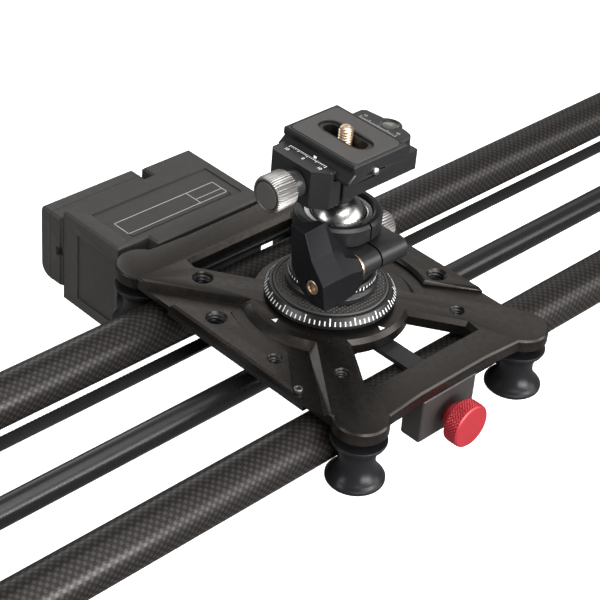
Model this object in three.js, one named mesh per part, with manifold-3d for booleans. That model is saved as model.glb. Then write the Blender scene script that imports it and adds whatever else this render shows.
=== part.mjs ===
// Motorised camera slider: carbon rails on two end blocks, a roller carriage driven along a toothed belt,
// a graduated turntable, and a ball head with a quick-release clamp. Millimetres, +X along the rails, +Z up.
// Heights inside the slider group are measured from the rail axes.
import * as THREE from 'three';
import { mergeVertices } from 'three/addons/utils/BufferGeometryUtils.js';
import Module from 'manifold-3d';

const wasm = await Module();
wasm.setup();

const GAP = 0.3; // between neighbouring solids
const RUN = 0.1; // radial clearance of a running fit

// rails and frame
const AXIS_Z = 75;
const RAIL_LENGTH = 988;
const RAIL_R = 11;
const RAIL_BORE_R = 9.5;
const RAIL_Y = 50;
const ROD_R = 6;
const ROD_Z = -6.5;
const ROD_LENGTH = 980;
const BLOCK_X = 472; // inner face of an end block
const BLOCK_DEPTH = 28;
const BLOCK_R = 17;
const LEG_HALF_SPAN = 142;
const LEG_X = 476;
const LEG_WIDTH = 20;
const FOOT_Y = 130;
const STUD_R = 3;

// drive belt
const BELT_Y = 40.6;
const BELT_WIDTH = 7;
const BELT_T = 1.2;
const BELT_Z = -13.5;
const PULLEY = { x: 8, z: -21.5, r: 4.6 };
const IDLER = { dx: 10.5, z: -19.1, r: 3.2, pin: 1.4 };

// carriage
const PLATE_TOP = 20.7;
const PLATE_T = 6.5;
const PLATE_BOTTOM = PLATE_TOP - PLATE_T;
const EAR = { x: 50.2, y: 69.2, r: 12 };
const SIDE_X = 59;
const BAR_Y = 74.6; // far and near edges of the plate between the ears
const BAR_EAR = { x: 40.3, y: 76 };
const WINDOW = { barY: 57.5, barX: 31, cornerX: 31.7, cornerY: 52.8, armX: 17.6, armY: 31.7, hubR: 36 };
const RECESS = { depth: 3.3, hubR: 39.8, startX: 33.4, startY: 21.6, endX: 73.8, endY: 77.7 };
const PAD = { hubR: 45.3, innerX: 41.4, innerY: 18.4, outerY: 38.9, drop: 0.9, chamfer: 1.4 };
const HOLE_38 = 4.3;
const HOLE_14 = 2.9;
const ROLLER = { flange: 12.7, top: 12, bore: 2.6, z0: -11.4, z1: 10.2 };

// motor housing and battery
const HOUSING = { x0: -51.8, x1: 32, y0: 77, y1: 132, z0: -29, z1: 21, notchX: -34, notchY: 84, bayX: 2, bayY: 124 };
const BATTERY = { x0: -53.5, x1: 1.5, y0: 124.3, y1: 139.8, z0: -21.5, z1: 17.2, topR: 3, lowR: 7 };

// turntable and ball head
const PIVOT_R = 5.7;
const RING = { r: 29.2, topR: 27, z0: 21.1, lip: 22.2, bevel: 24, z1: 27.2 };
const GRIP = { r: 25.5, z0: 26.9, z1: 27.9 };
const HEAD_STUD_R = 4.7;
const BALL = { r: 13, z: 60.1 };
const COLLAR = { r: 19.4, z0: 58.9, z1: 66.6 };
const BOSS = { y: -22, z: 51.6, r: 5.5, x0: -11.5, x1: 17.7, bore: 2.6 };
const PAN_KNOB = { z: 45.5, x0: 24, x1: 32.5, r: 6.8 };

// quick-release clamp
const CLAMP = { x0: -12.3, x1: 32.5, nearY: -13.2, farY: 17, z0: 79.8, seat: 92.5, top: 97.5, vialX: 27.5 };
const JAW = { x0: -27.1, x1: -14.5, nearY: -13.5, farY: 17.5, cornerX: -21, cornerY: -7.5 };
const SCREW_Z = 88.9;
const KNOB = { x0: -44.4, x1: -33.4, r: 8.2, cap: 6.1 };
const QR = { halfX: 16, wing: 18.6, halfY: 21.1, z0: 92.8, z1: 102 };

const slider = new THREE.Group();
slider.position.z = AXIS_Z;

const finish = (color, roughness, metalness) => new THREE.MeshStandardMaterial({ color, roughness, metalness });
const material = {
  carbon: finish(0x2b2725, 0.3, 0.1),
  anodised: finish(0x45403b, 0.45, 0.7),
  blackMetal: finish(0x17181a, 0.38, 0.6),
  blackPlastic: finish(0x0c0c0d, 0.25, 0),
  housing: finish(0x3d3a36, 0.6, 0),
  rubber: finish(0x1c1c1c, 0.85, 0),
  steel: finish(0xc4c2be, 0.2, 1),
  silver: finish(0xb0aba6, 0.4, 0.9),
  brass: finish(0xd0b493, 0.3, 0.9),
  red: finish(0xc8242c, 0.35, 0.8),
  green: finish(0x9fb08a, 0.1, 0),
};

// ---- solids ----

function outward(geometry) {
  const position = geometry.attributes.position;
  const index = geometry.index.array;
  const [a, b, c] = [0, 1, 2].map(() => new THREE.Vector3());
  let volume = 0;
  for (let i = 0; i < index.length; i += 3) {
    a.fromBufferAttribute(position, index[i]);
    b.fromBufferAttribute(position, index[i + 1]);
    c.fromBufferAttribute(position, index[i + 2]);
    volume += a.dot(b.cross(c));
  }
  if (volume < 0) {
    for (let i = 0; i < index.length; i += 3) {
      [index[i], index[i + 1]] = [index[i + 1], index[i]];
    }
  }
  return geometry;
}

function closed(geometry) {
  const bare = geometry.clone();
  bare.deleteAttribute('normal');
  bare.deleteAttribute('uv');
  return outward(mergeVertices(bare, 1e-4));
}

function solid(geometry) {
  const g = closed(geometry);
  return new wasm.Manifold(
    new wasm.Mesh({
      numProp: 3,
      vertProperties: new Float32Array(g.attributes.position.array),
      triVerts: new Uint32Array(g.index.array),
    }),
  );
}

function surface(manifold) {
  const mesh = manifold.getMesh();
  const geometry = new THREE.BufferGeometry();
  geometry.setAttribute('position', new THREE.BufferAttribute(new Float32Array(mesh.vertProperties), 3));
  geometry.setIndex(new THREE.BufferAttribute(new Uint32Array(mesh.triVerts), 1));
  return geometry;
}

const join = (...parts) => parts.reduce((whole, part) => whole.add(part));
const cut = (body, ...tools) => tools.reduce((rest, tool) => rest.subtract(tool), body);

function block(x0, x1, y0, y1, z0, z1) {
  const geometry = new THREE.BoxGeometry(x1 - x0, y1 - y0, z1 - z0);
  return solid(geometry.translate((x0 + x1) / 2, (y0 + y1) / 2, (z0 + z1) / 2));
}

// A profile of [radius, height] points turned about +Z.
function turned(profile, segments = 24) {
  const points = profile.map(([r, z]) => new THREE.Vector2(r, z));
  return new THREE.LatheGeometry(points, segments).rotateX(Math.PI / 2);
}

const alongX = (geometry, y = 0, z = 0) => geometry.rotateY(Math.PI / 2).translate(0, y, z);
const alongY = (geometry, x = 0, z = 0) => geometry.rotateX(-Math.PI / 2).translate(x, 0, z);
const rod = (r, a, b) => [[0, a], [r, a], [r, b], [0, b]];
const sleeve = (r, bore, a, b) => [[bore, a], [r, a], [r, b], [bore, b], [bore, a]];

function outline(points) {
  const shape = new THREE.Shape();
  points.forEach(([x, y], i) => (i ? shape.lineTo(x, y) : shape.moveTo(x, y)));
  shape.closePath();
  return shape;
}

// A shape in XY raised from z0 to z1, its edges chamfered and its outline kept.
function slab(shape, z0, z1, chamfer = 0, curveSegments = 12) {
  return new THREE.ExtrudeGeometry(shape, {
    depth: z1 - z0 - 2 * chamfer,
    curveSegments,
    bevelEnabled: chamfer > 0,
    bevelThickness: chamfer,
    bevelSize: chamfer,
    bevelOffset: -chamfer,
    bevelSegments: 1,
  }).translate(0, 0, z0 + chamfer);
}

// A tool that cuts the shape to a depth below top, widening at 45 degrees over the given rise.
function flared(shape, top, depth, rise) {
  const straight = new THREE.ExtrudeGeometry(shape, { depth: depth + 2, bevelEnabled: false, curveSegments: 10 });
  const mouth = new THREE.ExtrudeGeometry(shape, {
    depth: 2,
    curveSegments: 10,
    bevelThickness: rise,
    bevelSize: rise,
    bevelSegments: 1,
  });
  return join(solid(straight.translate(0, 0, top - depth)), solid(mouth.translate(0, 0, top)));
}

// A shape drawn in (Y, Z) and run from x0 to x1.
const runX = (shape, x0, x1, chamfer = 0, curveSegments = 10) =>
  slab(shape, x0, x1, chamfer, curveSegments).rotateX(Math.PI / 2).rotateZ(Math.PI / 2);

// A shape drawn in (X, Z) and run from y0 to y1.
const runY = (shape, y0, y1, chamfer = 0, curveSegments = 10) =>
  slab(shape, -y1, -y0, chamfer, curveSegments).rotateX(Math.PI / 2);

function rounded(x0, x1, y0, y1, r) {
  const shape = new THREE.Shape();
  const corners = [[x1 - r, y1 - r, 0], [x0 + r, y1 - r, 1], [x0 + r, y0 + r, 2], [x1 - r, y0 + r, 3]];
  for (const [x, y, quarter] of corners) {
    shape.absarc(x, y, r, (quarter * Math.PI) / 2, ((quarter + 1) * Math.PI) / 2, false);
  }
  shape.closePath();
  return shape;
}

function piece(name, body, finishOf) {
  const geometry = closed(body.isBufferGeometry ? body : surface(body)).toNonIndexed();
  geometry.computeVertexNormals();
  const mesh = new THREE.Mesh(geometry, finishOf);
  mesh.name = name;
  slider.add(mesh);
}

const ends = [['left', -1], ['right', 1]];
const corners = [['far_left', -1, 1], ['far_right', 1, 1], ['near_left', -1, -1], ['near_right', 1, -1]];
const placed = (manifold, x, y, z = 0) => manifold.translate([x, y, z]);
const flipped = (manifold, side) => (side < 0 ? manifold.mirror([1, 0, 0]) : manifold);

// ---- frame: rails, end blocks, legs, feet ----

function addRails() {
  for (const [name, side] of [['rail_far', 1], ['rail_near', -1]]) {
    const tube = turned(sleeve(RAIL_R, RAIL_BORE_R, -RAIL_LENGTH / 2, RAIL_LENGTH / 2), 40);
    piece(name, alongX(tube, side * RAIL_Y), material.carbon);
  }
  const bar = turned(rod(ROD_R, -ROD_LENGTH / 2, ROD_LENGTH / 2), 24);
  piece('centre_rod', alongX(bar, 0, ROD_Z), material.blackMetal);
}

function endBlock() {
  const waist = 9; // half height between the rails
  const shoulder = 28;
  const shape = new THREE.Shape();
  shape.absarc(RAIL_Y, 0, BLOCK_R, -Math.PI / 2, Math.PI / 2, false);
  shape.lineTo(shoulder + 6, BLOCK_R);
  shape.lineTo(shoulder, waist);
  shape.lineTo(-shoulder, waist);
  shape.lineTo(-shoulder - 6, BLOCK_R);
  shape.absarc(-RAIL_Y, 0, BLOCK_R, Math.PI / 2, 1.5 * Math.PI, false);
  const body = solid(runX(shape, BLOCK_X, BLOCK_X + BLOCK_DEPTH, 1.2));
  const railEnd = RAIL_LENGTH / 2 + GAP;
  const sockets = [1, -1].map((side) => {
    const socket = turned(rod(RAIL_R + 0.2, BLOCK_X - 2, railEnd), 40);
    return solid(alongX(socket, side * RAIL_Y));
  });
  const rodSocket = solid(alongX(turned(rod(ROD_R + 0.2, BLOCK_X - 2, ROD_LENGTH / 2 + GAP), 24), 0, ROD_Z));
  return cut(body, ...sockets, rodSocket);
}

function leg() {
  const z = -BLOCK_R - GAP;
  const half = [[42, z], [116, z - 27.7], [LEG_HALF_SPAN, z - 27.7], [LEG_HALF_SPAN, z - 37], [112, z - 37], [38, z - 10]];
  const mirrored = half.map(([y, h]) => [-y, h]).reverse();
  const body = solid(runX(outline([...half, ...mirrored]), LEG_X, LEG_X + LEG_WIDTH, 1));
  const middle = LEG_X + LEG_WIDTH / 2;
  const holes = [1, -1].map((side) =>
    placed(solid(turned(rod(STUD_R + RUN, z - 45, z - 20))), middle, side * FOOT_Y));
  return cut(body, ...holes);
}

function addEnds() {
  const slot = BELT_T / 2 + GAP;
  const clampTop = -RAIL_R - 0.5;
  const clamp = cut(
    block(BLOCK_X - 16, BLOCK_X - GAP, BELT_Y - 6.1, BELT_Y + 6.1, -19.5, clampTop),
    block(BLOCK_X - 18, BLOCK_X - 2.5, BELT_Y - 3.8, BELT_Y + 3.8, BELT_Z - slot, BELT_Z + slot),
  );
  const [blockBody, legBody] = [endBlock(), leg()];
  for (const [end, side] of ends) {
    piece(`end_block_${end}`, flipped(blockBody, side), material.anodised);
    piece(`leg_${end}`, flipped(legBody, side), material.blackMetal);
    piece(`belt_clamp_${end}`, flipped(clamp, side), material.blackMetal);
  }
  const beltEnd = BLOCK_X - 2.8;
  const belt = block(-beltEnd, beltEnd, BELT_Y - BELT_WIDTH / 2, BELT_Y + BELT_WIDTH / 2,
    BELT_Z - BELT_T / 2, BELT_Z + BELT_T / 2);
  piece('belt_run', belt, material.rubber);
}

function addFeet() {
  const floor = -AXIS_Z;
  const stud = [[0, floor], [14, floor], [14, floor + 4], [11, floor + 6], [5, floor + 7.5], [STUD_R, floor + 9],
    [STUD_R, floor + 37], [0, floor + 37]];
  const wheelTop = -BLOCK_R - GAP - 37 - GAP;
  const wheel = sleeve(9, STUD_R + RUN, wheelTop - 5, wheelTop);
  for (const [corner, sx, sy] of corners) {
    const x = sx * (LEG_X + LEG_WIDTH / 2);
    piece(`foot_${corner}`, turned(stud, 24).translate(x, sy * FOOT_Y, 0), material.rubber);
    piece(`level_wheel_${corner}`, turned(wheel, 24).translate(x, sy * FOOT_Y, 0), material.silver);
  }
}

// ---- carriage ----

function plateOutline() {
  const shape = new THREE.Shape();
  const onSide = Math.asin(Math.sqrt(1 - ((SIDE_X - EAR.x) / EAR.r) ** 2));
  const onBar = Math.atan2(BAR_EAR.y - EAR.y, BAR_EAR.x - EAR.x);
  const barEnd = 20;
  const ear = (sx, sy, from, to) => shape.absarc(sx * EAR.x, sy * EAR.y, EAR.r, from, to, false);
  ear(1, 1, -onSide, onBar);
  shape.lineTo(barEnd, BAR_Y);
  shape.lineTo(-barEnd, BAR_Y);
  ear(-1, 1, Math.PI - onBar, Math.PI + onSide);
  ear(-1, -1, Math.PI - onSide, Math.PI + onBar);
  shape.lineTo(-barEnd, -BAR_Y);
  shape.lineTo(barEnd, -BAR_Y);
  ear(1, -1, -onBar, onSide);
  shape.closePath();
  return shape;
}

function windowShape(side) {
  const w = WINDOW;
  const shape = new THREE.Shape();
  const start = Math.atan2(w.armY, w.armX);
  shape.moveTo(w.armX, side * w.armY);
  shape.lineTo(w.cornerX, side * w.cornerY);
  shape.lineTo(w.barX, side * w.barY);
  shape.lineTo(-w.barX, side * w.barY);
  shape.lineTo(-w.cornerX, side * w.cornerY);
  shape.lineTo(-w.armX, side * w.armY);
  shape.absarc(0, 0, w.hubR, side * (Math.PI - start), side * start, side > 0);
  return shape;
}

function recessShape(side) {
  const q = RECESS;
  const start = Math.atan2(q.startY, q.startX);
  const shape = new THREE.Shape();
  shape.moveTo(q.endX, -q.endY);
  shape.lineTo(q.endX, q.endY);
  shape.lineTo(q.startX, q.startY);
  shape.absarc(0, 0, q.hubR, start, -start, true);
  shape.closePath();
  return side > 0 ? shape : mirroredX(shape);
}

function mirroredX(shape) {
  const points = shape.getPoints(10).map((p) => [-p.x, p.y]);
  return outline(points.reverse());
}

function padShape(side) {
  const p = PAD;
  const start = Math.atan2(p.innerY, p.innerX);
  const shape = new THREE.Shape();
  shape.moveTo(SIDE_X, -p.outerY);
  shape.lineTo(SIDE_X, p.outerY);
  shape.lineTo(p.innerX, p.innerY);
  shape.absarc(0, 0, p.hubR, start, -start, true);
  shape.closePath();
  return side > 0 ? shape : mirroredX(shape);
}

function threadHole(x, y, r, top) {
  const mouth = 0.6;
  const profile = [[0, PLATE_BOTTOM - 1], [r, PLATE_BOTTOM - 1], [r, top - mouth], [r + 2 * mouth, top + mouth],
    [0, top + mouth]];
  return placed(solid(turned(profile)), x, y);
}

function addPlate() {
  let plate = solid(slab(plateOutline(), PLATE_BOTTOM, PLATE_TOP, 0.8));
  for (const side of [1, -1]) {
    plate = cut(plate, flared(windowShape(side), PLATE_TOP, PLATE_T + 2, 1.9));
    plate = cut(plate, flared(recessShape(side), PLATE_TOP, RECESS.depth, RECESS.depth));
    plate = join(plate, solid(slab(padShape(side), PLATE_BOTTOM, PLATE_TOP - PAD.drop, PAD.chamfer)));
  }
  const padTop = PLATE_TOP - PAD.drop;
  const holes = [
    threadHole(-36, 44, HOLE_38, PLATE_TOP), threadHole(36, 44, HOLE_38, PLATE_TOP),
    threadHole(-36, -44, HOLE_14, PLATE_TOP), threadHole(36, -44, HOLE_14, PLATE_TOP),
    threadHole(-50.5, 18.5, HOLE_38, padTop), threadHole(-50.5, -18.5, HOLE_14, padTop),
    threadHole(50.5, -18.5, HOLE_38, padTop), threadHole(50.5, 18.5, HOLE_14, padTop),
    threadHole(0, 0, PIVOT_R + RUN, PLATE_TOP),
  ];
  piece('carriage_plate', cut(plate, ...holes), material.anodised);
}

function addUnderFrame() {
  const [z0, z1] = [9.7, PLATE_BOTTOM - GAP];
  const half = { x: 57, y: 43, bar: 13, web: 15 };
  const shape = outline([[-half.x, -half.y], [-half.x + half.bar, -half.y], [-half.x + half.bar, -half.web],
    [half.x - half.bar, -half.web], [half.x - half.bar, -half.y], [half.x, -half.y], [half.x, half.y],
    [half.x - half.bar, half.y], [half.x - half.bar, half.web], [-half.x + half.bar, half.web],
    [-half.x + half.bar, half.y], [-half.x, half.y]]);
  const prong = (side) => {
    const edges = [side * (ROD_R + 0.4), side * (ROD_R + 4)].sort((a, b) => a - b);
    return block(-12, 12, ...edges, -12, z0 + 1);
  };
  const rib = block(-5, 5, -62, -half.web + 1, RAIL_R + 0.6, z1);
  const body = join(solid(slab(shape, z0, z1, 0.5)), prong(1), prong(-1), rib);
  const pivot = placed(solid(turned(rod(PIVOT_R + 0.3, 0, PLATE_TOP), 24)), 0, 0);
  const sockets = [[-50.5, 18.5], [-50.5, -18.5], [50.5, 18.5], [50.5, -18.5]].map(([x, y]) =>
    placed(solid(turned(rod(HOLE_38 + 0.4, 0, PLATE_TOP), 20)), x, y));
  piece('under_frame', cut(body, pivot, ...sockets), material.blackMetal);
}

function rollerProfile() {
  const reach = EAR.y - RAIL_Y - GAP;
  const groove = [-8, -5, -2, 2, 5, 8].map((z) => [reach - Math.sqrt(RAIL_R ** 2 - z ** 2), z]);
  const { flange, top, bore, z0, z1 } = ROLLER;
  return [[bore, z0], [flange - 1, z0], [flange, z0 + 0.8], [flange, z0 + 2], ...groove, [top, 9.1], [top, z1],
    [bore, z1], [bore, z0]];
}

function addRollers() {
  const boltR = ROLLER.bore - RUN;
  const axle = [[0, -13.4], [4.2, -13.4], [4.2, ROLLER.z0 - GAP], [boltR, ROLLER.z0 - GAP],
    [boltR, ROLLER.z1 + GAP], [5.5, ROLLER.z1 + GAP], [5.5, PLATE_BOTTOM - GAP], [0, PLATE_BOTTOM - GAP]];
  for (const [corner, sx, sy] of corners) {
    const [x, y] = [sx * EAR.x, sy * EAR.y];
    piece(`roller_axle_${corner}`, turned(axle, 20).translate(x, y, 0), material.steel);
    piece(`roller_${corner}`, turned(rollerProfile(), 24).translate(x, y, 0), material.blackPlastic);
  }
}

function addBrake() {
  const [face, inner] = [-74, -62.6];
  const bore = 3.2;
  const axisX = 1;
  const body = solid(runY(outline([[-16.7, -8.4], [16.7, -8.4], [16.7, PLATE_BOTTOM - GAP],
    [-16.7, PLATE_BOTTOM - GAP]]), face, inner, 0.8));
  piece('brake_block', cut(body, solid(alongY(turned(rod(bore, face - 1, inner + 1), 20), axisX))), material.anodised);
  piece('brake_pad', alongY(turned(rod(bore - RUN, -73, -RAIL_Y - RAIL_R - 0.4), 20), axisX), material.rubber);
  const knob = [[0, -87], [9.7, -87], [10.5, -86.2], [10.5, -80.4], [9.7, -79.6], [6.4, -79.6], [6.4, -76.4],
    [4.6, -74.3], [bore - 0.5, -74.3], [bore - 0.5, -73.3], [0, -73.3]];
  piece('brake_knob', alongY(turned(knob, 24), axisX), material.red);
}

// ---- motor drive ----

function addMotor() {
  const h = HOUSING;
  const shape = outline([[h.x0, h.notchY], [h.notchX, h.notchY], [h.notchX, h.y0], [h.x1, h.y0], [h.x1, h.y1],
    [h.bayX, h.y1], [h.bayX, h.bayY], [h.x0, h.bayY]]);
  const label = solid(slab(rounded(-43.7, 26.4, 86.5, 113.6, 0.8), h.z1 - 0.6, h.z1 + 1));
  const panel = block(h.x0 - 1, h.x0 + 0.8, 87, 113.5, -22.6, 12.7);
  const shaftHole = solid(alongY(turned(rod(2.4, h.y0 - 1, h.y0 + 7), 20), PULLEY.x, PULLEY.z));
  const buttonHole = solid(alongX(turned(rod(5.1, h.x1 - 2.2, h.x1 + 1), 24), 105, 4));
  const body = cut(solid(slab(shape, h.z0, h.z1, 1)), label, panel, shaftHole, buttonHole);
  piece('motor_housing', body, material.housing);
  piece('power_button', alongX(turned(rod(5, h.x1 - 0.8, h.x1 + 1.2), 24), 105, 4), material.blackPlastic);

  const bracket = join(block(-30, 30, 56, 76.7, 11.4, PLATE_BOTTOM - GAP), block(-30, 30, 74.2, 76.7, -12, 12));
  piece('motor_bracket', bracket, material.blackMetal);
}

function addBattery() {
  const b = BATTERY;
  const shape = new THREE.Shape();
  shape.moveTo(b.y0, b.z1);
  shape.lineTo(b.y0, b.z0);
  shape.absarc(b.y1 - b.lowR, b.z0 + b.lowR, b.lowR, -Math.PI / 2, 0, false);
  shape.absarc(b.y1 - b.topR, b.z1 - b.topR, b.topR, 0, Math.PI / 2, false);
  shape.closePath();
  const endSlot = block(b.x0 - 1, b.x0 + 1.5, b.y0 - 1, b.y0 + 0.9, b.z0 - 1, b.z1 + 1);
  const keyNotch = block(b.x0 - 1, b.x0 + 3, b.y0 - 1, b.y0 + 3.2, -4.4, 0.2);
  piece('battery', cut(solid(runX(shape, b.x0, b.x1, 1.2, 6)), endSlot, keyNotch), material.housing);
  const latch = block(6, 14, HOUSING.y1 + GAP, HOUSING.y1 + 1.8, -6, 8);
  piece('battery_latch', latch, material.blackPlastic);
}

function addDriveBracket() {
  const [y0, y1] = [BELT_Y - 7.4, BELT_Y - 4.9];
  const floorTop = HOUSING.z0 - GAP;
  const [x0, x1] = [PULLEY.x - 16, PULLEY.x + 16];
  const floor = block(x0, x1, y0, 92, floorTop - 2.7, floorTop);
  const cheek = block(x0, x1, y0, y1, floorTop - 1, IDLER.z + 3.4);
  const pins = [-1, 1].map((side) => solid(alongY(turned(rod(IDLER.pin, y1 - 1, BELT_Y + 5), 16),
    PULLEY.x + side * IDLER.dx, IDLER.z)));
  const shaftHole = solid(alongY(turned(rod(2.1, y0 - 1, y1 + 1), 20), PULLEY.x, PULLEY.z));
  piece('drive_bracket', cut(join(floor, cheek, ...pins), shaftHole), material.blackMetal);
}

function addPulley() {
  const [a, b] = [BELT_Y - 3.7, BELT_Y + 3.7];
  const rim = PULLEY.r + 1.6;
  const shaft = 2;
  const profile = [[0, BELT_Y - 7], [shaft, BELT_Y - 7], [shaft, a - 0.9], [rim, a - 0.9], [rim, a], [PULLEY.r, a],
    [PULLEY.r, b], [rim, b], [rim, b + 0.9], [shaft, b + 0.9], [shaft, HOUSING.y0 + 6], [0, HOUSING.y0 + 6]];
  piece('drive_pulley', alongY(turned(profile, 28), PULLEY.x, PULLEY.z), material.steel);
  for (const [name, side] of [['idler_left', -1], ['idler_right', 1]]) {
    const wheel = turned(sleeve(IDLER.r, IDLER.pin + RUN, a, b), 20);
    piece(name, alongY(wheel, PULLEY.x + side * IDLER.dx, IDLER.z), material.steel);
  }
}

// The belt passes over an idler, under the pulley and over the other idler.
function beltPath() {
  const clearance = 0.3 + BELT_T / 2;
  const [big, small] = [PULLEY.r + clearance, IDLER.r + clearance];
  const [dx, dz] = [IDLER.dx, IDLER.z - PULLEY.z];
  const distance = Math.hypot(dx, dz);
  const tangent = Math.atan2(dz, dx) + Math.PI - Math.acos((big + small) / distance);
  const arc = (cx, cz, r, from, to, steps) =>
    Array.from({ length: steps + 1 }, (_, i) => {
      const t = from + ((to - from) * i) / steps;
      return [cx + r * Math.cos(t), cz + r * Math.sin(t)];
    });
  const right = [
    ...arc(0, 0, big, -Math.PI / 2, tangent - Math.PI, 6).slice(1),
    ...arc(dx, dz, small, tangent, Math.PI / 2, 6),
    [dx + 5, dz + small],
  ];
  const left = right.map(([x, z]) => [-x, z]).reverse();
  return [...left, [0, -big], ...right].map(([x, z]) => new THREE.Vector2(PULLEY.x + x, PULLEY.z + z));
}

function addBeltLoop() {
  const path = beltPath();
  const side = (offset) =>
    path.map((p, i) => {
      const before = path[Math.max(i - 1, 0)];
      const after = path[Math.min(i + 1, path.length - 1)];
      const along = after.clone().sub(before).normalize();
      return [p.x - along.y * offset, p.y + along.x * offset];
    });
  const shape = outline([...side(-BELT_T / 2), ...side(BELT_T / 2).reverse()]);
  const body = runY(shape, BELT_Y - BELT_WIDTH / 2, BELT_Y + BELT_WIDTH / 2);
  piece('belt_loop', body, material.rubber);
}

// ---- turntable and ball head ----

function addTurntable() {
  const { r, topR, z0, lip, bevel, z1 } = RING;
  const floor = GRIP.z0 - GAP;
  const studTop = 33.5;
  const ring = [[0, 10], [PIVOT_R, 10], [PIVOT_R, z0], [topR, z0], [topR, lip], [r, lip], [r, bevel], [topR, z1],
    [GRIP.r + 0.4, z1], [GRIP.r + 0.4, floor], [HEAD_STUD_R, floor], [HEAD_STUD_R, studTop], [0, studTop]];
  piece('turntable_ring', turned(ring, 40), material.blackMetal);
  piece('turntable_grip', turned(sleeve(GRIP.r, HEAD_STUD_R + GAP, GRIP.z0, GRIP.z1), 36), material.rubber);
}

function headBody() {
  const cavity = Array.from({ length: 9 }, (_, i) => {
    const t = (i * Math.PI) / 16;
    const r = BALL.r + GAP;
    return [r * Math.cos(t), BALL.z - r * Math.sin(t)];
  });
  cavity[8][0] = 0;
  const c = COLLAR;
  const shell = [[0, 36.5], [17, 36.5], [18.2, 37.7], [18.2, 40.6], [17.4, 41.6], [17.4, 57.2], [c.r, c.z0],
    [c.r, c.z1 - 1.2], [c.r - 1.2, c.z1], [16.2, c.z1], [15.4, c.z1 - 1], [15.4, BALL.z], ...cavity];
  const b = BOSS;
  const boss = solid(alongX(turned([[0, b.x0], [b.r, b.x0], [b.r, b.x1 - 1.2], [b.r - 1.2, b.x1], [0, b.x1]], 28),
    b.y, b.z));
  const web = block(b.x0, b.x1 - 2, b.y, -12, b.z - b.r, b.z + b.r);
  const core = solid(turned(rod(17.3, b.z - 14, BALL.z), 40));
  const bossWeb = join(boss, web.subtract(core.subtract(solid(turned(rod(16, b.z - 15, BALL.z + 1), 40)))));
  const outside = cut(bossWeb, solid(turned(rod(16.2, b.z - 16, BALL.z + 2), 40)));
  const slit = block(0.3, 1.3, b.y - 8, -13, b.z - 9, c.z1 + 1);
  const bore = solid(alongX(turned(rod(b.bore, b.x0 - 1, b.x1 - 4), 20), b.y, b.z));
  const panBore = solid(alongX(turned(rod(2.2, 12, 20), 16), 0, PAN_KNOB.z));
  return cut(join(solid(turned(shell, 40)), outside), slit, bore, panBore);
}

function addHead() {
  const base = [[HEAD_STUD_R + GAP, 28.2], [20, 28.2], [20.5, 28.8], [20.5, 31.4], [19.4, 32.4], [19.4, 35.4],
    [18.6, 36.2], [HEAD_STUD_R + GAP, 36.2], [HEAD_STUD_R + GAP, 28.2]];
  piece('head_base', turned(base, 36), material.blackMetal);
  piece('head_body', headBody(), material.blackMetal);
  const seat = [[13.32, 60.4], [15.1, 60.4], [15.1, 65.2], [12.45, 65.2], [12.9, 63.2], [13.32, 60.4]];
  piece('ball_seat_ring', turned(seat, 36), material.steel);
  piece('ball', new THREE.SphereGeometry(BALL.r, 28, 16).rotateX(Math.PI / 2).translate(0, 0, BALL.z), material.steel);
  const k = PAN_KNOB;
  const knob = [[0, 12.5], [2, 12.5], [2, 18.6], [4, 18.6], [4, k.x0], [k.r, k.x0 + 0.6], [k.r, k.x1 - 0.8],
    [k.r - 0.8, k.x1], [0, k.x1]];
  piece('pan_knob', alongX(turned(knob, 28), 0, k.z), material.silver);
}

// Sections of the lever across its screw axis, each at one x, joined by flat facets.
function leverSections() {
  const [outer, shoulder, step, hub] = [-36, -23.4, -17.5, -11.8];
  const lower = [[-20.6, 64.3], [-28.4, 55.3], [-30.6, 44.4], [-22.4, 43.8], [-15.6, 47.8]];
  const wing = [[-7, 75.8], [-15.6, 75.2], ...lower, [-9.2, 57.2]];
  const neck = [[-11.2, 74.6], [-14.6, 75], ...lower, [-11.6, 57.2]];
  const low = [[-12.4, 64.6], [-18, 65], [-23.4, 60], [-28.2, 54.8], [-30, 45], [-22.2, 44.2], [-16.2, 46.6],
    [-14.6, 54]];
  const round = [[-17.4, 57.6], [-20.4, 59.2], [-25, 58.2], [-28.6, 54], [-28.8, 47], [-22, 44.6], [-17, 46.4],
    [-15.9, 51.6]];
  return [[outer, wing], [shoulder, neck], [step, low], [hub, round]];
}

function leverGeometry() {
  const sections = leverSections();
  const count = sections[0][1].length;
  const vertices = sections.flatMap(([x, ring]) => ring.flatMap(([y, z]) => [x, y, z]));
  const index = [];
  for (let s = 0; s + 1 < sections.length; s += 1) {
    for (let i = 0; i < count; i += 1) {
      const [a, b] = [s * count + i, s * count + ((i + 1) % count)];
      index.push(a, b, a + count, b, b + count, a + count);
    }
  }
  const last = (sections.length - 1) * count;
  for (const start of [0, last]) {
    const ring = sections[start ? sections.length - 1 : 0][1].map(([y, z]) => new THREE.Vector2(y, z));
    for (const [a, b, c] of THREE.ShapeUtils.triangulateShape(ring, [])) {
      index.push(...(start ? [start + a, start + b, start + c] : [a, c, b]));
    }
  }
  const geometry = new THREE.BufferGeometry();
  geometry.setAttribute('position', new THREE.Float32BufferAttribute(vertices, 3));
  geometry.setIndex(index);
  return geometry;
}

function addLever() {
  const b = BOSS;
  const bore = solid(alongX(turned(rod(b.bore, -40, -10), 20), b.y, b.z));
  const pocket = solid(alongX(turned(rod(3.8, -37, -33), 20), b.y, b.z));
  piece('lock_lever', cut(solid(leverGeometry()), bore, pocket), material.blackMetal);
  const screw = [[0, -35.8], [3.4, -35.8], [3.4, -33.3], [b.bore - RUN, -33.3], [b.bore - RUN, b.x1 - 4.4],
    [0, b.x1 - 4.4]];
  piece('lever_screw', alongX(turned(screw, 20), b.y, b.z), material.brass);
}

// ---- quick-release clamp ----

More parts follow.
